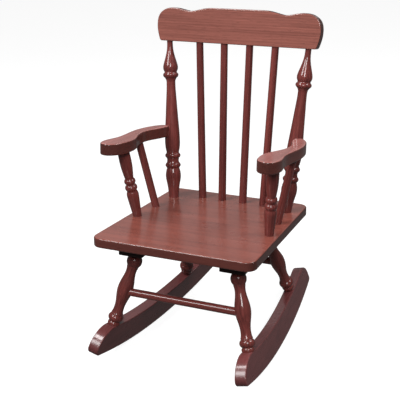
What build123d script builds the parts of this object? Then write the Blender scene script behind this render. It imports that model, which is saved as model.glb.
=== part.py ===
from build123d import *
import math
import os

os.makedirs("parts", exist_ok=True)

# ---------------------------------------------------------------- overall sizes (mm)
# Everything is laid out in the seat's own frame: +X is the right of the chair seen from the
# front, Y runs back from the seat's front edge, Z up from the seat's top.
seat_front_width = 355.0
seat_back_width = 331.0
seat_depth = 370.0
seat_thick = 20.0
seat_corner = 22.0
seat_arris = 3.0
rest_pitch = 2.1                   # degrees the seat falls toward the back when the empty chair is still

glue_gap = 0.1                     # all round and at the bottom of every socket
tenon_deep = 14.0                  # tenons and dowel ends in the seat and the arms
soft_edge = 2.0                    # eased arris on flat boards

# ---------------------------------------------------------------- back
back_height = 348.0                # crest underside above the seat, square to the seat
crest_height = 75.0
crest_thick = 22.0
crest_half_bottom = 180.0
crest_corner = 6.0
crest_half_width = 188.0
crest_ear_height = 72.5            # rounded ears, shallow dips and a raised middle along the top
crest_ear_x = 156.0
crest_dip_height = 67.0
crest_dip_x = 111.0
crest_middle_half = 58.0
post_foot = (135.5, 304.0)         # where a post's centre line meets the seat top
post_head = (161.0, 350.0)         # where it meets the crest underside
post_tenon_radius = 8.5
post_neck_radius = 6.4
spindle_foot_x = (73.5, 25.0)
spindle_head_x = (87.8, 29.5)
spindle_foot_y = 326.5
spindle_foot_radius = 8.8
spindle_head_radius = 7.8
crest_socket_deep = 24.0

# ---------------------------------------------------------------- arms
arm_thick = 24.5
arm_top_at_middle = 171.0          # top of the arm above the seat, half way along
arm_middle_y = 200.0
arm_drop = 0.0625                  # the arm falls this much per mm toward the back
arm_arris = 3.0
arm_post_foot = (151.0, 156.0)
arm_post_head = (166.5, 131.0)
arm_post_tenon_radius = 7.0
arm_spindle_foot = (143.0, 227.5)
arm_spindle_head = (176.0, 219.5)
arm_spindle_radius = 8.3
arm_dowel_radius = 4.0
arm_dowel_length = 26.0
arm_dowel_in_post = 9.0
arm_dowel_way = (0.40, -0.91, 0.06)  # forward and a little outward from the post

# ---------------------------------------------------------------- legs and under-frame
block_width = 54.0
block_depth = 60.0
block_thick = 30.0
front_block_shift = (1.0, -1.5)    # block centre from its leg's centre line at the underside
rear_block_shift = (-1.0, -5.0)
front_leg_top = (112.0, 80.5)      # leg centre line at the underside of its block
rear_leg_top = (96.5, 285.0)
leg_head_radius = 11.5
leg_head_deep = 20.0
leg_foot_radius = 10.2
leg_tenon_radius = 7.0
leg_tenon_deep = 24.0
stretcher_radius = 8.4
front_stretcher_drop = 134.2       # stretcher centre lines below the seat top
rear_stretcher_drop = 127.5
stretcher_in_leg = 11.0            # stretcher ends stop this far short of the leg's far side
screw_head_radius = 4.0
screw_shank_radius = 2.0
screw_head_deep = 2.4
screw_length = 40.0
screw_offset = (20.0, 21.0)        # screws sit this far from a block's centre

# ---------------------------------------------------------------- rockers
rocker_thick = 24.0
rocker_deep = 55.5
rocker_front_radius = 960.0
rocker_rear_radius = 1175.0
rocker_low_point = (155.5, 189.0, -272.0)
rocker_toe = 0.074                 # the pair closes in this much per mm toward the back
rocker_lean = 0.199                # and this much per mm of height, in line with the legs
rocker_nose = -229.0               # ends of a rocker, measured along it from its low point
rocker_tail = 305.0
nose_slant = 20.0                  # the sawn ends lean in this much from bottom to top
tail_slant = 10.0
nose_top_radius = 56.0
nose_under_radius = 12.0
tail_top_radius = 42.0
tail_under_radius = 7.0
front_foot = -158.0                # where the legs stand, measured the same way
rear_foot = 176.0

# ---------------------------------------------------------------- shapes of the turned pieces
# Each list holds (distance along the piece, radius) stretches that follow on from one another:
# two stations make a straight stretch, three an arc, more a flowing curve.
post_profile = (
    ((-8.0, 11.6), (14.0, 12.2), (30.0, 14.4), (46.0, 17.1), (58.0, 16.4), (66.0, 14.2)),
    ((66.0, 14.2), (68.5, 14.6)),
    ((68.5, 14.6), (73.5, 17.3), (78.5, 14.6)),
    ((78.5, 14.6), (84.5, 13.2), (90.5, 14.4)),
    ((90.5, 14.4), (95.5, 17.4), (100.5, 14.6)),
    ((100.5, 14.6), (103.5, 14.1), (106.5, 14.8)),
    ((106.5, 14.8), (116.0, 16.4), (130.0, 17.0), (158.0, 15.8), (190.0, 13.6), (222.0, 11.7),
     (246.0, 10.2), (260.0, 9.9)),
    ((260.0, 9.9), (267.0, 11.2), (271.5, 14.4)),
    ((271.5, 14.4), (276.5, 17.2), (281.5, 14.4)),
    ((281.5, 14.4), (283.5, 13.8), (285.5, 14.6)),
    ((285.5, 14.6), (292.5, 16.5), (302.0, 15.0), (312.0, 12.0), (323.0, 9.0), (334.0, 7.0),
     (344.0, post_neck_radius), (352.0, post_neck_radius)),
)
arm_post_profile = (
    ((-8.0, 9.0), (6.0, 9.8), (28.0, 11.5), (46.0, 12.8), (54.0, 12.7), (58.5, 11.2)),
    ((58.5, 11.2), (60.4, 10.6), (62.3, 11.2)),
    ((62.3, 11.2), (68.0, 13.2), (73.7, 10.3)),
    ((73.7, 10.3), (75.3, 9.5), (76.9, 10.0)),
    ((76.9, 10.0), (82.3, 12.2), (87.7, 9.8)),
    ((87.7, 9.8), (89.3, 9.2), (91.0, 9.5)),
    ((91.0, 9.5), (102.0, 11.0), (118.0, 12.5), (140.0, 12.7), (172.0, 12.5)),
)
leg_profile = (
    ((-leg_head_deep, leg_head_radius), (5.0, leg_head_radius)),
    ((5.0, leg_head_radius), (8.0, 12.0), (11.0, 13.3)),
    ((11.0, 13.3), (21.0, 16.4), (30.5, 13.4)),
    ((30.5, 13.4), (32.0, 12.5), (34.5, 12.3)),
    ((34.5, 12.3), (44.0, 11.0), (57.0, 12.4), (70.0, 15.1), (83.0, 16.4), (95.0, 15.6), (107.0, 13.2),
     (118.0, 11.2), (127.5, 10.7), (135.5, 11.4), (140.5, 12.9)),
    ((140.5, 12.9), (141.8, 12.1), (143.0, 12.9)),
    ((143.0, 12.9), (150.0, 16.2), (157.0, 12.9)),
    ((157.0, 12.9), (158.3, 11.8), (159.6, 12.6)),
    ((159.6, 12.6), (162.5, 13.6), (168.0, 12.4), (176.0, leg_foot_radius)),
    ((176.0, leg_foot_radius), (196.0, leg_foot_radius)),
)
# Plan of the right-hand arm, x and y in the seat frame: up the inner side from the post, round
# the paddle and back along the outer side, then behind the coped end.
arm_plan = (
    (148.0, 306.0), (150.0, 290.0), (155.5, 270.0), (162.5, 248.0), (165.0, 225.0), (162.0, 200.0),
    (154.5, 176.0), (146.0, 152.0), (142.5, 128.0), (144.5, 104.0), (150.5, 82.5), (161.0, 70.5),
    (173.0, 67.0), (185.5, 73.0), (192.5, 88.0), (193.5, 106.0), (190.0, 126.0), (187.0, 146.0),
    (187.5, 168.0), (190.0, 196.0), (192.0, 222.0), (191.0, 248.0), (187.0, 272.0), (180.5, 293.0),
    (171.5, 309.5), (161.0, 318.0), (152.0, 316.5),
)


# ---------------------------------------------------------------- layout helpers
def seat_frame(front_y, front_z):
    """The seat's own frame, set down in the room."""
    pitch = math.radians(rest_pitch)
    up = (0, math.sin(pitch), math.cos(pitch))
    return Plane(origin=(0, front_y, front_z), x_dir=(1, 0, 0), z_dir=up)


def tilted_frame(frame, place, x_way, out_way):
    """A plane given in seat coordinates: where it sits, its X direction and its normal."""
    origin = frame.from_local_coords(Vector(*place))
    x_tip = frame.from_local_coords(Vector(*place) + Vector(*x_way))
    z_tip = frame.from_local_coords(Vector(*place) + Vector(*out_way))
    return Plane(origin=origin, x_dir=x_tip - origin, z_dir=z_tip - origin)


def rocker_frame(frame):
    """Mid plane of the right-hand rocker: X back along it, Y up, Z out of its outer face."""
    return tilted_frame(frame, rocker_low_point, (-rocker_toe, 1, 0), (1, rocker_toe, rocker_lean))


def crest_frame(frame):
    """Mid plane of the crest: X to the right, Y up the crest, Z out of its front face."""
    lean = (post_head[1] - post_foot[1]) / back_height
    return tilted_frame(frame, (0, post_head[1], back_height), (1, 0, 0), (0, -1, lean))


def arm_frame(frame):
    """Top face of both arms: X to the right, Y back along them."""
    return tilted_frame(frame, (0, arm_middle_y, arm_top_at_middle), (1, 0, 0), (0, arm_drop, 1))


def rocker_edge(s, rise):
    """Point `rise` above the tread, s back along the rocker from its low point."""
    radius = rocker_front_radius if s < 0 else rocker_rear_radius
    angle = s / radius
    reach = radius - rise
    return (reach * math.sin(angle), radius - reach * math.cos(angle))


def axis_frame(start, end):
    """Plane holding a centre line: X out from the line, Y along it."""
    line = (end - start).normalized()
    outward = (Vector(1, 0, 0) - line * line.X).normalized()
    return Plane(origin=start, x_dir=outward, z_dir=outward.cross(line))


# ---------------------------------------------------------------- shaping helpers
def turn(start, end, profile, extra=0.0):
    """Revolve a profile about the line from start to end, grown by `extra`."""
    first = profile[0][0]
    last = profile[-1][-1]
    with BuildSketch(axis_frame(start, end)) as half:
        with BuildLine():
            for stretch in profile:
                stations = [(radius + extra, place) for place, radius in stretch]
                if len(stations) == 2:
                    Line(*stations)
                elif len(stations) == 3:
                    ThreePointArc(*stations)
                else:
                    Spline(*stations)
            Polyline((last[1] + extra, last[0]), (0, last[0]), (0, first[0]), (first[1] + extra, first[0]))
        make_face()
    revolve(half.sketch, axis=Axis(start, end - start))


def bar(start, end, radius, before=0.0, after=0.0, mode=Mode.ADD):
    """Round bar from `before` mm ahead of start to `after` mm past end."""
    across = Plane(origin=start, z_dir=end - start)
    with BuildSketch(across.offset(-before)) as ring:
        Circle(radius)
    extrude(ring.sketch, amount=before + (end - start).length + after, mode=mode)


def peg(root, way, radius, deep, overlap=4.0):
    """Tenon standing `deep` mm out of a piece at root, its base sunk into the piece."""
    bar(root, root + way * deep, radius, before=overlap)


def socket(mouth, way, radius, deep, clear=6.0):
    """Blind hole for a bar of this radius and depth, open for `clear` mm in front of its mouth."""
    bar(mouth, mouth + way * (deep + glue_gap), radius + glue_gap, before=clear, mode=Mode.SUBTRACT)


def rocker_slab(frame, extra, thick):
    """Side view of a rocker grown by `extra`, pulled out both ways to `thick`."""
    low = -extra
    top = rocker_deep + extra
    nose = rocker_nose - extra
    tail = rocker_tail + extra
    nose_above = nose + nose_slant
    tail_above = tail - tail_slant
    corners = (
        (nose_above, top, nose_top_radius),
        (nose, low, nose_under_radius),
        (tail_above, top, tail_top_radius),
        (tail, low, tail_under_radius),
    )
    with BuildSketch(rocker_frame(frame)) as side_view:
        with BuildLine():
            ThreePointArc(rocker_edge(nose, low), rocker_edge(nose / 2, low), rocker_edge(0, low))
            ThreePointArc(rocker_edge(0, low), rocker_edge(tail / 2, low), rocker_edge(tail, low))
            Line(rocker_edge(tail, low), rocker_edge(tail_above, top))
            ThreePointArc(rocker_edge(tail_above, top), rocker_edge(tail_above / 2, top), rocker_edge(0, top))
            ThreePointArc(rocker_edge(0, top), rocker_edge(nose_above / 2, top), rocker_edge(nose_above, top))
            Line(rocker_edge(nose_above, top), rocker_edge(nose, low))
        make_face()
        for s, rise, radius in corners:
            fillet(side_view.vertices().sort_by_distance(rocker_edge(s, rise))[0], radius=radius)
    extrude(side_view.sketch, amount=thick / 2, both=True)


def ease(builder, frame, radius):
    """Round over the arrises of a board's two broad faces."""
    faces = builder.faces().sort_by(Axis(frame.origin, frame.z_dir))
    fillet(faces[0].edges() + faces[-1].edges(), radius=radius)


def mirrored(builder, name):
    """The left-hand twin of a right-hand piece."""
    with BuildPart() as twin:
        add(mirror(builder.part, about=Plane.YZ, mode=Mode.PRIVATE))
    twin.part.label = name
    return twin


def save(builder):
    export_step(builder.part, "parts/" + builder.part.label + ".step")


# ---------------------------------------------------------------- where the chair stands
# A trial rocker shows how far the chair reaches down, forward and back from the seat.
loose = seat_frame(0, 0)
with BuildPart() as trial_rocker:
    rocker_slab(loose, 0, rocker_thick)
    ease(trial_rocker, rocker_frame(loose), soft_edge)
stand = trial_rocker.part.bounding_box()
seat = seat_frame(-(stand.min.Y + stand.max.Y) / 2, -stand.min.Z)
rocker_mid = rocker_frame(seat)
crest_mid = crest_frame(seat)
arm_top = arm_frame(seat)
arm_under = arm_top.offset(-arm_thick)


def at(x, y, z):
    """Seat coordinates to room coordinates."""
    return seat.from_local_coords(Vector(x, y, z))


def at_arm_under(x, y):
    """Room coordinates of the arm's underside at a place in the seat plan."""
    return at(x, y, arm_top_at_middle - arm_drop * (y - arm_middle_y) - arm_thick)


def foot_on_rocker(s):
    """Top centre of the right-hand rocker, s back from its low point."""
    return rocker_mid.from_local_coords(Vector(*rocker_edge(s, rocker_deep)))


def both_sides(line):
    """A right-hand centre line and its twin on the other side of the chair."""
    return (line, tuple(Vector(-point.X, point.Y, point.Z) for point in line))


def onward(line):
    """Direction of a centre line."""
    return (line[1] - line[0]).normalized()


# Centre lines of the right-hand pieces, each from seat or block to its far end.
block_under = -(seat_thick + glue_gap + block_thick)
post_line = (at(*post_foot, 0), at(*post_head, back_height))
spindle_lines = [
    (at(foot, spindle_foot_y, 0), at(head, post_head[1], back_height))
    for foot, head in zip(spindle_foot_x, spindle_head_x)
]
arm_post_line = (at(*arm_post_foot, 0), at_arm_under(*arm_post_head))
arm_spindle_line = (at(*arm_spindle_foot, 0), at_arm_under(*arm_spindle_head))
front_leg_line = (at(*front_leg_top, block_under), foot_on_rocker(front_foot))
rear_leg_line = (at(*rear_leg_top, block_under), foot_on_rocker(rear_foot))

# The blind dowel that pins an arm to its post starts inside the post at mid thickness of the arm.
arm_mid_at_post = arm_top_at_middle - arm_thick / 2 - arm_drop * (post_foot[1] - arm_middle_y)
post_centre = post_line[0] + (post_line[1] - post_line[0]) * (arm_mid_at_post / back_height)
dowel_way = (at(*arm_dowel_way) - at(0, 0, 0)).normalized()
dowel_start = post_centre + dowel_way * arm_dowel_in_post
dowel_line = (dowel_start, dowel_start + dowel_way * arm_dowel_length)

# Two screws hold each block up to the seat, at opposite corners.
front_block = (front_leg_top[0] + front_block_shift[0], front_leg_top[1] + front_block_shift[1])
rear_block = (rear_leg_top[0] + rear_block_shift[0], rear_leg_top[1] + rear_block_shift[1])
screw_places = (
    (front_block[0] + screw_offset[0], front_block[1] - screw_offset[1]),
    (front_block[0] - screw_offset[0], front_block[1] + screw_offset[1]),
    (rear_block[0] + screw_offset[0], rear_block[1] + screw_offset[1]),
    (rear_block[0] - screw_offset[0], rear_block[1] - screw_offset[1]),
)
screw_lines = [(at(x, y, block_under), at(x, y, block_under + screw_length)) for x, y in screw_places]

# ---------------------------------------------------------------- seat
with BuildPart() as seat_panel:
    with BuildSketch(seat):
        with BuildLine():
            Polyline(
                (-seat_front_width / 2, 0),
                (seat_front_width / 2, 0),
                (seat_back_width / 2, seat_depth),
                (-seat_back_width / 2, seat_depth),
                close=True,
            )
        make_face()
        fillet(vertices(), radius=seat_corner)
    extrude(amount=-seat_thick)
    ease(seat_panel, seat, seat_arris)
    seat_sockets = [(post_line, post_tenon_radius), (arm_post_line, arm_post_tenon_radius)]
    seat_sockets.append((arm_spindle_line, arm_spindle_radius))
    seat_sockets.extend((line, spindle_foot_radius) for line in spindle_lines)
    for right_line, radius in seat_sockets:
        for line in both_sides(right_line):
            socket(line[0], -onward(line), radius, tenon_deep)
    for right_line in screw_lines:
        for line in both_sides(right_line):
            socket(line[0], onward(line), screw_shank_radius, screw_length)
seat_panel.part.label = "seat_panel"
save(seat_panel)

# ---------------------------------------------------------------- back
with BuildPart() as back_post_right:
    turn(*post_line, post_profile)
    split(bisect_by=seat.offset(glue_gap), keep=Keep.TOP)
    peg(post_line[0], -onward(post_line), post_tenon_radius, tenon_deep)
    peg(post_line[1], onward(post_line), post_neck_radius, crest_socket_deep)
    bar(*dowel_line, arm_dowel_radius + glue_gap, before=glue_gap, mode=Mode.SUBTRACT)
back_post_right.part.label = "back_post_right"
back_post_left = mirrored(back_post_right, "back_post_left")
save(back_post_right)
save(back_post_left)


def spindle_profile(line):
    """Slim taper, with parallel ends where it stands in the seat and the crest."""
    length = (line[1] - line[0]).length
    return (
        ((-tenon_deep, spindle_foot_radius), (0, spindle_foot_radius)),
        ((0, spindle_foot_radius), (length, spindle_head_radius)),
        ((length, spindle_head_radius), (length + crest_socket_deep, spindle_head_radius)),
    )


left_lines = [both_sides(line)[1] for line in spindle_lines]
right_lines = spindle_lines[::-1]
for number, line in enumerate(left_lines + right_lines, start=1):
    with BuildPart() as back_spindle:
        turn(*line, spindle_profile(line))
    back_spindle.part.label = f"back_spindle_{number}"
    save(back_spindle)

with BuildPart() as crest_rail:
    with BuildSketch(crest_mid):
        with BuildLine():
            middle = Line((0, crest_height), (crest_middle_half, crest_height))
            dip = Spline(
                middle @ 1,
                (crest_dip_x, crest_dip_height),
                (crest_ear_x, crest_ear_height),
                (crest_half_width - 4.0, crest_height * 0.75),
                (crest_half_width, crest_height * 0.46),
                (crest_half_bottom, 0),
                tangents=((1, 0), (-0.35, -1)),
            )
            Polyline(dip @ 1, (0, 0), middle @ 0)
        make_face()
        fillet(vertices().sort_by_distance(dip @ 1)[0], radius=crest_corner)
        mirror(about=Plane.YZ)
    extrude(amount=crest_thick / 2, both=True)
    ease(crest_rail, crest_mid, soft_edge)
    for line in both_sides(post_line):
        socket(line[1], onward(line), post_neck_radius, crest_socket_deep)
    for right_line in spindle_lines:
        for line in both_sides(right_line):
            socket(line[1], onward(line), spindle_head_radius, crest_socket_deep)
crest_rail.part.label = "crest_rail"
save(crest_rail)


# ---------------------------------------------------------------- arms
def on_arm(places):
    """Plan places in the seat frame, carried onto the arm's own sloping face."""
    slope = math.hypot(1, arm_drop)
    return [(x, (y - arm_middle_y) * slope) for x, y in places]


# The room a back post takes up, grown by the glue gap; the arm's rear end is coped to it.
with BuildPart() as post_room:
    turn(*post_line, post_profile, extra=glue_gap)

with BuildPart() as arm_right:
    with BuildSketch(arm_top):
        with BuildLine():
            Spline(*on_arm(arm_plan), periodic=True)
        make_face()
    extrude(amount=-arm_thick)
    ease(arm_right, arm_top, arm_arris)
    add(post_room.part, mode=Mode.SUBTRACT)
    socket(arm_post_line[1], onward(arm_post_line), arm_post_tenon_radius, tenon_deep)
    socket(arm_spindle_line[1], onward(arm_spindle_line), arm_spindle_radius, tenon_deep)
    bar(*dowel_line, arm_dowel_radius + glue_gap, after=glue_gap, mode=Mode.SUBTRACT)
arm_right.part.label = "arm_right"
arm_left = mirrored(arm_right, "arm_left")
save(arm_right)
save(arm_left)

with BuildPart() as arm_post_right:
    turn(*arm_post_line, arm_post_profile)
    split(bisect_by=seat.offset(glue_gap), keep=Keep.TOP)
    split(bisect_by=arm_under.offset(-glue_gap), keep=Keep.BOTTOM)
    peg(arm_post_line[0], -onward(arm_post_line), arm_post_tenon_radius, tenon_deep)
    peg(arm_post_line[1], onward(arm_post_line), arm_post_tenon_radius, tenon_deep)
arm_post_right.part.label = "arm_post_right"
arm_post_left = mirrored(arm_post_right, "arm_post_left")
save(arm_post_right)
save(arm_post_left)

with BuildPart() as arm_spindle_right:
    bar(*arm_spindle_line, arm_spindle_radius, before=tenon_deep, after=tenon_deep)
arm_spindle_right.part.label = "arm_spindle_right"
arm_spindle_left = mirrored(arm_spindle_right, "arm_spindle_left")
save(arm_spindle_right)
save(arm_spindle_left)

with BuildPart() as arm_dowels:
    for line in both_sides(dowel_line):
        bar(*line, arm_dowel_radius)
arm_dowels.part.label = "arm_dowels"
save(arm_dowels)


# ---------------------------------------------------------------- rockers
with BuildPart() as rocker_right:
    rocker_slab(seat, 0, rocker_thick)
    ease(rocker_right, rocker_mid, soft_edge)
    for line in (front_leg_line, rear_leg_line):
        socket(line[1], onward(line), leg_tenon_radius, leg_tenon_deep, clear=12.0)
rocker_right.part.label = "rocker_right"
rocker_left = mirrored(rocker_right, "rocker_left")
save(rocker_right)
save(rocker_left)

# The leg feet are coped to this slightly fuller rocker, so each sits down on the curve.
with BuildPart() as cope_block:
    rocker_slab(seat, glue_gap, rocker_thick * 4)


# ---------------------------------------------------------------- legs, blocks and stretchers
def stretcher_ends(leg_line, drop):
    """Centre line of the stretcher between a leg and its twin, ends inside the legs."""
    head = seat.to_local_coords(leg_line[0])
    foot = seat.to_local_coords(leg_line[1])
    share = (head.Z + drop) / (head.Z - foot.Z)
    middle = head + (foot - head) * share
    reach = middle.X - stretcher_in_leg / 2
    return (at(-reach, middle.Y, middle.Z), at(reach, middle.Y, middle.Z))


def make_leg(leg_line, stretcher_line, name):
    """Turned leg: head up in its block, foot coped and tenoned into the rocker."""
    with BuildPart() as leg:
        turn(*leg_line, leg_profile)
        add(cope_block.part, mode=Mode.SUBTRACT)
        peg(leg_line[1], onward(leg_line), leg_tenon_radius, leg_tenon_deep, overlap=8.0)
        bar(*stretcher_line, stretcher_radius + glue_gap, after=glue_gap, mode=Mode.SUBTRACT)
    leg.part.label = name
    return leg


def make_block(centre, leg_line, screws, name):
    """Square block under the seat, bored for the leg head and two countersunk screws."""
    underside = seat.offset(block_under)
    with BuildPart() as block:
        with BuildSketch(underside):
            with Locations(centre):
                Rectangle(block_width, block_depth)
        extrude(amount=block_thick)
        fillet(block.edges(), radius=soft_edge)
        socket(leg_line[0], -onward(leg_line), leg_head_radius, leg_head_deep)
        for line in screws:
            socket(line[0], onward(line), screw_shank_radius, screw_length)
            socket(line[0], onward(line), screw_head_radius, screw_head_deep)
    block.part.label = name
    return block


for leg_line, drop, centre, screws, place in (
    (front_leg_line, front_stretcher_drop, front_block, screw_lines[:2], "front"),
    (rear_leg_line, rear_stretcher_drop, rear_block, screw_lines[2:], "rear"),
):
    stretcher_line = stretcher_ends(leg_line, drop)
    leg_right = make_leg(leg_line, stretcher_line, f"leg_{place}_right")
    save(leg_right)
    save(mirrored(leg_right, f"leg_{place}_left"))
    block_right = make_block(centre, leg_line, screws, f"leg_block_{place}_right")
    save(block_right)
    save(mirrored(block_right, f"leg_block_{place}_left"))
    with BuildPart() as stretcher:
        bar(*stretcher_line, stretcher_radius)
    stretcher.part.label = f"stretcher_{place}"
    save(stretcher)

with BuildPart() as block_screws:
    for right_line in screw_lines:
        for line in both_sides(right_line):
            bar(*line, screw_shank_radius)
            bar(line[0], line[0] + onward(line) * screw_head_deep, screw_head_radius)
block_screws.part.label = "block_screws"
save(block_screws)
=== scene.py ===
import math
import bpy
from mathutils import Matrix, Vector

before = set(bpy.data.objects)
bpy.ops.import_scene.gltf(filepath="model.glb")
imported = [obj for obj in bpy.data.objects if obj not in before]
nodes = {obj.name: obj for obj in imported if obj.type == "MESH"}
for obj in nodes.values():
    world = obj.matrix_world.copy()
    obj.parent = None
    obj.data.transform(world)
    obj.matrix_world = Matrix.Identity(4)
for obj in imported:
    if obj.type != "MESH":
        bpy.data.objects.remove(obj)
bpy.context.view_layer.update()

scene = bpy.context.scene

# Tones of the stain as linear red, green and blue: (deep in the grain, general, pale where worn and where an
# arris highlight is painted).
face_tones = ((0.095, 0.030, 0.023), (0.252, 0.086, 0.066), (0.50, 0.23, 0.18))
# arm tops: a lighter copy of the stain, a painted sheen
sheen_lit_arm_tones = ((0.170, 0.060, 0.052), (0.390, 0.155, 0.138), (0.56, 0.30, 0.25))
# seat: a darker copy of the stain, painted shade
shaded_seat_tones = ((0.085, 0.024, 0.019), (0.228, 0.066, 0.049), (0.44, 0.19, 0.15))
# board edge faces: darker tones, partly darker stain on sawn edges and partly painted shade
edge_stain_and_shade_tones = ((0.050, 0.014, 0.011), (0.100, 0.028, 0.022), (0.30, 0.12, 0.095))
turned_tones = ((0.018, 0.004, 0.005), (0.176, 0.040, 0.034), (0.34, 0.14, 0.11))
# rockers: a darker copy of the stain, partly darker stain and partly painted shade
rocker_stain_and_shade_tones = ((0.070, 0.018, 0.018), (0.150, 0.042, 0.042), (0.30, 0.13, 0.11))
block_tones = ((0.012, 0.006, 0.006), (0.024, 0.012, 0.011), (0.08, 0.04, 0.035))
bare_tones = ((0.30, 0.17, 0.08), (0.52, 0.34, 0.18), (0.60, 0.42, 0.25))

across_chair = (1.0, 0.0, 0.0)
along_chair = (0.0, 1.0, 0.0)
seat_tilt = math.radians(2.1)      # the seat leans back this much
arris_width = 0.0022               # how far from an edge the stain is rubbed thin and a highlight is painted
room_reach = 14.0                  # the pale room's walls stand this far out and this high
light_aim = (0.0, 0.0, 0.35)


# ---------------------------------------------------------------- node helpers
def add(tree, kind, inputs=None, **settings):
    made = tree.nodes.new(kind)
    for key, value in settings.items():
        setattr(made, key, value)
    for key, value in (inputs or {}).items():
        if isinstance(value, bpy.types.NodeSocket):
            tree.links.new(value, made.inputs[key])
        else:
            made.inputs[key].default_value = value
    return made


def noise(tree, coords, scale, detail=4.0, rough=0.55):
    inputs = {"Vector": coords, "Scale": scale, "Detail": detail, "Roughness": rough}
    made = add(tree, "ShaderNodeTexNoise", inputs)
    return made.outputs["Factor" if "Factor" in made.outputs else "Fac"]


def stretched(tree, coords, along, across, shift=0.0):
    inputs = {"Vector": coords, "Scale": (along, across, across), "Location": (shift, shift, 0.0)}
    return add(tree, "ShaderNodeMapping", inputs).outputs["Vector"]


def ranged(tree, value, low, high, to_low=0.0, to_high=1.0):
    inputs = {"Value": value, "From Min": low, "From Max": high, "To Min": to_low, "To Max": to_high}
    return add(tree, "ShaderNodeMapRange", inputs).outputs["Result"]


def maths(tree, operation, one, two):
    return add(tree, "ShaderNodeMath", {0: one, 1: two}, operation=operation).outputs["Value"]


def grey(tree, value):
    """The same value in red, green and blue."""
    return add(tree, "ShaderNodeCombineColor", {"Red": value, "Green": value, "Blue": value}).outputs["Color"]


def mixed(tree, amount, one, two, blend="MIX"):
    made = add(tree, "ShaderNodeMix", data_type="RGBA", blend_type=blend)
    for socket, value in (("Factor_Float", amount), ("A_Color", one), ("B_Color", two)):
        target = next(s for s in made.inputs if s.identifier == socket)
        if isinstance(value, bpy.types.NodeSocket):
            tree.links.new(value, target)
        else:
            target.default_value = value if socket == "Factor_Float" else (*value, 1.0)
    return next(s for s in made.outputs if s.identifier == "Result_Color")


def facing(tree, normal, way):
    """How squarely a surface faces a direction or its opposite, 0 to 1."""
    made = add(tree, "ShaderNodeVectorMath", {0: normal, 1: tuple(way)}, operation="DOT_PRODUCT")
    return add(tree, "ShaderNodeMath", {0: made.outputs["Value"]}, operation="ABSOLUTE").outputs["Value"]


# ---------------------------------------------------------------- the lacquered wood
def long_axis(piece):
    """The way a piece's vertices spread most, found by repeated multiplication."""
    points = [v.co for v in piece.data.vertices]
    middle = sum(points, Vector()) / len(points)
    spread = Matrix(((0.0,) * 3,) * 3)
    for p in points:
        d = p - middle
        for i in range(3):
            for j in range(3):
                spread[i][j] += d[i] * d[j]
    way = Vector((1.0, 1.1, 1.2))
    for _ in range(60):
        way = (spread @ way).normalized()
    return way


def grain_coords(tree, along, seed):
    """Coordinates with X along the grain and the heart of the tree some way off to one side."""
    coords = add(tree, "ShaderNodeTexCoord")
    turn = Vector(along).rotation_difference(Vector((1.0, 0.0, 0.0))).to_euler()
    shift = (seed * 1.37, 0.06 + 0.013 * (seed % 5), -0.05 + 0.011 * (seed % 7))
    inputs = {"Vector": coords.outputs["Object"], "Rotation": turn, "Location": shift}
    return add(tree, "ShaderNodeMapping", inputs).outputs["Vector"], coords.outputs["Normal"]


def wood_colour(tree, grain, tones, ring_scale, seed, figure=0.34, streak=0.42):
    """Growth rings, long streaks, short pores and uneven stain."""
    deep, general, pale = tones
    wander = noise(tree, stretched(tree, grain, 3.0, 16.0), 1.0, 3.0)
    inputs = {"Vector": stretched(tree, grain, 0.12, 1.0), "Scale": ring_scale, "Distortion": 5.0,
              "Detail": 3.0, "Detail Scale": 1.4, "Detail Roughness": 0.6}
    rings = add(tree, "ShaderNodeTexWave", inputs, wave_type="RINGS", rings_direction="X", wave_profile="SAW")
    ring_line = ranged(tree, rings.outputs["Fac" if "Fac" in rings.outputs else "Factor"], 0.25, 1.0)
    streaks = ranged(tree, noise(tree, stretched(tree, grain, 5.0, 340.0, seed), 1.0, 6.0, 0.65), 0.34, 0.68)
    broad = ranged(tree, noise(tree, stretched(tree, grain, 2.4, 70.0, seed), 1.0, 4.0), 0.32, 0.68)
    pores = ranged(tree, noise(tree, stretched(tree, grain, 55.0, 1500.0, seed), 1.0, 2.0, 0.5), 0.60, 0.70)
    colour = mixed(tree, maths(tree, "MULTIPLY", ring_line, figure), general, deep)
    colour = mixed(tree, maths(tree, "MULTIPLY", streaks, streak), colour, deep)
    lighter = tuple(g * 1.28 for g in general)
    colour = mixed(tree, maths(tree, "MULTIPLY", broad, 0.45), colour, lighter)
    colour = mixed(tree, maths(tree, "MULTIPLY", pores, 0.55), colour, tuple(d * 0.5 for d in deep))
    uneven = ranged(tree, wander, 0.25, 0.75, 0.86, 1.14)
    return mixed(tree, 1.0, colour, grey(tree, uneven), "MULTIPLY"), streaks, pores


def worn_highlit_arris_mask(tree, radius, grain):
    """Where the stain is rubbed thin along an edge, with a painted highlight along the arris."""
    eased = add(tree, "ShaderNodeBevel", {"Radius": radius}, samples=6)
    plain = add(tree, "ShaderNodeNewGeometry")
    normals = {0: eased.outputs["Normal"], 1: plain.outputs["Normal"]}
    turn = add(tree, "ShaderNodeVectorMath", normals, operation="DOT_PRODUCT")
    edge = ranged(tree, turn.outputs["Value"], 0.995, 0.90)
    patchy = ranged(tree, noise(tree, grain, 38.0, 4.0), 0.38, 0.62, 0.15, 1.0)
    return maths(tree, "MULTIPLY", edge, patchy)


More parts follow.
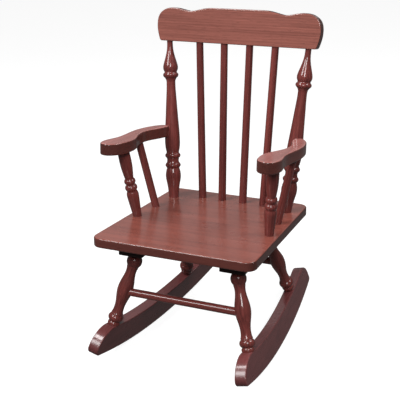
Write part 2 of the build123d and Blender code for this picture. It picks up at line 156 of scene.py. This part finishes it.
def lacquered(name, tones, along, seed, side_stain_and_shade_tones=None, face=None, ring_scale=62.0, wear_and_highlight=0.6,
              turned=False, rough=0.30, figure=0.34, streak=0.42, gloss=0.09):
    """Stained wood under a gloss lacquer. face is the normal of a board's broad face, whose edge faces take
    darker side tones, partly darker stain on sawn edges and partly painted shade. figure and streak are the
    strength of rings and streaks, and gloss is the roughness of the lacquer."""
    material = bpy.data.materials.new(name)
    material.use_nodes = True
    tree = material.node_tree
    shader = tree.nodes["Principled BSDF"]
    grain, normal = grain_coords(tree, along, seed)
    colour, streaks, pores = wood_colour(tree, grain, tones, ring_scale, seed, figure, streak)
    # edge faces of a board darker than its broad face: partly stain on sawn edges, partly painted shade
    if face is not None:
        side, _, _ = wood_colour(tree, grain, side_stain_and_shade_tones, ring_scale, seed + 3)
        colour = mixed(tree, ranged(tree, facing(tree, normal, face), 0.55, 0.88), side, colour)
    ends = ranged(tree, facing(tree, normal, along), 0.55, 0.88)
    dots = ranged(tree, noise(tree, stretched(tree, grain, 300.0, 900.0), 1.0, 2.0), 0.35, 0.65, 0.42, 0.85)
    end_grain = mixed(tree, 1.0, (side_stain_and_shade_tones or tones)[1], grey(tree, dots), "MULTIPLY")
    colour = mixed(tree, ends, colour, end_grain)
    # worn arrises: the stain rubbed thin, partly a painted highlight along the edge
    worn_and_highlit = maths(tree, "MULTIPLY", worn_highlit_arris_mask(tree, arris_width, grain), wear_and_highlight)
    colour = mixed(tree, worn_and_highlit, colour, tones[2])
    tree.links.new(colour, shader.inputs["Base Color"])
    hazy = ranged(tree, noise(tree, grain, 26.0, 5.0), 0.3, 0.7, rough - 0.05, rough + 0.07)
    tree.links.new(maths(tree, "ADD", hazy, maths(tree, "MULTIPLY", pores, 0.10)), shader.inputs["Roughness"])
    relief = maths(tree, "ADD", maths(tree, "MULTIPLY", streaks, 0.35), maths(tree, "MULTIPLY", pores, 1.0))
    if turned:
        marks = noise(tree, stretched(tree, grain, 900.0, 12.0), 1.0, 2.0)
        relief = maths(tree, "ADD", relief, maths(tree, "MULTIPLY", marks, 0.8))
    orange_peel = noise(tree, grain, 240.0, 2.0)
    relief = maths(tree, "ADD", relief, maths(tree, "MULTIPLY", orange_peel, 0.7))
    bump = add(tree, "ShaderNodeBump", {"Strength": 0.16, "Distance": 0.00025, "Height": relief}, invert=True)
    tree.links.new(bump.outputs["Normal"], shader.inputs["Normal"])
    shader.inputs["Coat Weight"].default_value = 0.75
    shader.inputs["Coat Roughness"].default_value = gloss
    shader.inputs["Coat IOR"].default_value = 1.5
    shader.inputs["Specular IOR Level"].default_value = 0.1
    return material


def coat_weight(material, weight):
    material.node_tree.nodes["Principled BSDF"].inputs["Coat Weight"].default_value = weight


def finish_with(node, material):
    for slot in nodes[node].material_slots:
        slot.material = material


def named(*starts):
    """The nodes whose names start so, in order."""
    return [n for n in sorted(nodes) if n.startswith(starts)]


# ---------------------------------------------------------------- each kind of piece
def dress_seat():
    face = (0.0, math.sin(seat_tilt), math.cos(seat_tilt))
    material = lacquered("seat_wood", shaded_seat_tones, across_chair, 2, edge_stain_and_shade_tones, face, 30.0, 0.45, rough=0.30,
                         figure=0.16, streak=0.55, gloss=0.21)
    finish_with("seat_panel", material)


def dress_crest():
    face = (0.0, -0.99, 0.14)
    material = lacquered("crest_wood", face_tones, across_chair, 5, edge_stain_and_shade_tones, face, 55.0, 0.95, rough=0.34,
                         figure=0.42, streak=0.62)
    finish_with("crest_rail", material)


def dress_arms():
    face = (0.0, -0.03, 1.0)
    for seed, node in enumerate(("arm_left", "arm_right"), 7):
        along = long_axis(nodes[node])
        material = lacquered(node + "_wood", sheen_lit_arm_tones, along, seed, edge_stain_and_shade_tones, face, 60.0, 0.7, gloss=0.15)
        finish_with(node, material)


def dress_turned():
    for seed, node in enumerate(named("back_post", "arm_post", "leg_front", "leg_rear"), 11):
        along = long_axis(nodes[node])
        material = lacquered(node + "_wood", turned_tones, along, seed, wear_and_highlight=0.25, turned=True, rough=0.26,
                             streak=0.7)
        finish_with(node, material)


def dress_rounds():
    for seed, node in enumerate(named("back_spindle", "arm_spindle", "stretcher"), 31):
        along = long_axis(nodes[node])
        material = lacquered(node + "_wood", turned_tones, along, seed, wear_and_highlight=0.2, rough=0.28, streak=0.7)
        finish_with(node, material)


def dress_rockers():
    for seed, node in enumerate(("rocker_left", "rocker_right"), 51):
        material = lacquered(node + "_wood", rocker_stain_and_shade_tones, along_chair, seed, ring_scale=48.0, wear_and_highlight=0.7,
                             gloss=0.17)
        finish_with(node, material)


def dress_blocks():
    for seed, node in enumerate(named("leg_block"), 61):
        material = lacquered(node + "_wood", block_tones, across_chair, seed, wear_and_highlight=0.25, rough=0.42)
        coat_weight(material, 0.15)
        finish_with(node, material)


def dress_dowels():
    material = lacquered("dowel_wood", bare_tones, along_chair, 71, wear_and_highlight=0.1, rough=0.6)
    coat_weight(material, 0.0)
    finish_with("arm_dowels", material)


def dress_screws():
    material = bpy.data.materials.new("screw_steel")
    material.use_nodes = True
    tree = material.node_tree
    shader = tree.nodes["Principled BSDF"]
    coords = add(tree, "ShaderNodeTexCoord").outputs["Object"]
    brushed = noise(tree, coords, 2200.0, 3.0)
    colour = mixed(tree, noise(tree, coords, 400.0, 3.0), (0.42, 0.42, 0.44), (0.62, 0.62, 0.64))
    tree.links.new(colour, shader.inputs["Base Color"])
    tree.links.new(ranged(tree, brushed, 0.3, 0.7, 0.28, 0.45), shader.inputs["Roughness"])
    bump = add(tree, "ShaderNodeBump", {"Strength": 0.2, "Distance": 0.0001, "Height": brushed})
    tree.links.new(bump.outputs["Normal"], shader.inputs["Normal"])
    shader.inputs["Metallic"].default_value = 1.0
    finish_with("block_screws", material)


# ---------------------------------------------------------------- the room
def floor():
    """Pale floor and walls in one mesh."""
    mesh = bpy.data.meshes.new("floor")
    signs = ((-1, -1), (1, -1), (1, 1), (-1, 1))
    points = [(x * room_reach, y * room_reach, z) for z in (0, room_reach) for x, y in signs]
    walls = [(i, (i + 1) % 4, (i + 1) % 4 + 4, i + 4) for i in range(4)]
    mesh.from_pydata(points, [], [(0, 1, 2, 3)] + walls)
    piece = bpy.data.objects.new("floor", mesh)
    scene.collection.objects.link(piece)
    material = bpy.data.materials.new("pale_floor")
    material.use_nodes = True
    tree = material.node_tree
    shader = tree.nodes["Principled BSDF"]
    coords = add(tree, "ShaderNodeTexCoord").outputs["Object"]
    colour = mixed(tree, noise(tree, coords, 3.0), (0.24, 0.24, 0.24), (0.27, 0.27, 0.27))
    tree.links.new(colour, shader.inputs["Base Color"])
    shader.inputs["Roughness"].default_value = 0.9
    shader.inputs["Specular IOR Level"].default_value = 0.1
    shader.inputs["Emission Color"].default_value = (1.0, 1.0, 1.0, 1.0)
    shader.inputs["Emission Strength"].default_value = 0.90
    mesh.materials.append(material)
    piece.visible_diffuse = False       # the sweep shows pale without lighting the chair from below
    piece.visible_glossy = False


def softbox(name, azimuth, elevation, distance, width, height, power):
    """An area light aimed at the middle of the chair. azimuth is from the chair's front, toward +X."""
    a, e = math.radians(azimuth), math.radians(elevation)
    away = Vector((math.sin(a) * math.cos(e), -math.cos(a) * math.cos(e), math.sin(e)))
    light = bpy.data.lights.new(name, "AREA")
    light.shape = "RECTANGLE"
    light.size = width
    light.size_y = height
    light.energy = power
    lamp = bpy.data.objects.new(name, light)
    lamp.location = Vector(light_aim) + away * distance
    lamp.rotation_euler = away.to_track_quat("Z", "Y").to_euler()
    scene.collection.objects.link(lamp)


def studio():
    world = bpy.data.worlds.new("studio")
    world.use_nodes = True
    background = world.node_tree.nodes["Background"]
    background.inputs["Color"].default_value = (1.0, 1.0, 1.0, 1.0)
    background.inputs["Strength"].default_value = 0.12
    scene.world = world
    softbox("high_left", -51.0, 60.0, 2.5, 0.9, 0.5, 34.0)
    softbox("soft_left", -33.0, 38.0, 2.5, 0.9, 0.6, 26.0)
    softbox("high_right", 98.0, 48.0, 2.6, 0.5, 0.6, 24.0)
    softbox("front", 22.0, 34.0, 2.8, 0.7, 1.1, 46.0)
    softbox("backdrop", 205.0, 22.0, 2.8, 2.8, 1.1, 2.9)
    softbox("rear", 150.0, 52.0, 2.8, 1.2, 0.8, 14.0)


def camera():
    data = bpy.data.cameras.new("camera")
    data.sensor_width = 36.0
    data.lens = 81.331
    data.clip_end = 60.0
    made = bpy.data.objects.new("camera", data)
    made.location = (0.73658, -1.65411, 0.98396)
    made.rotation_euler = [math.radians(d) for d in (69.581, 1.3787, 24.372)]
    scene.collection.objects.link(made)
    scene.camera = made


dress_seat()
dress_crest()
dress_arms()
dress_turned()
dress_rounds()
dress_rockers()
dress_blocks()
dress_dowels()
dress_screws()
floor()
studio()
camera()
scene.view_settings.view_transform = "Standard"
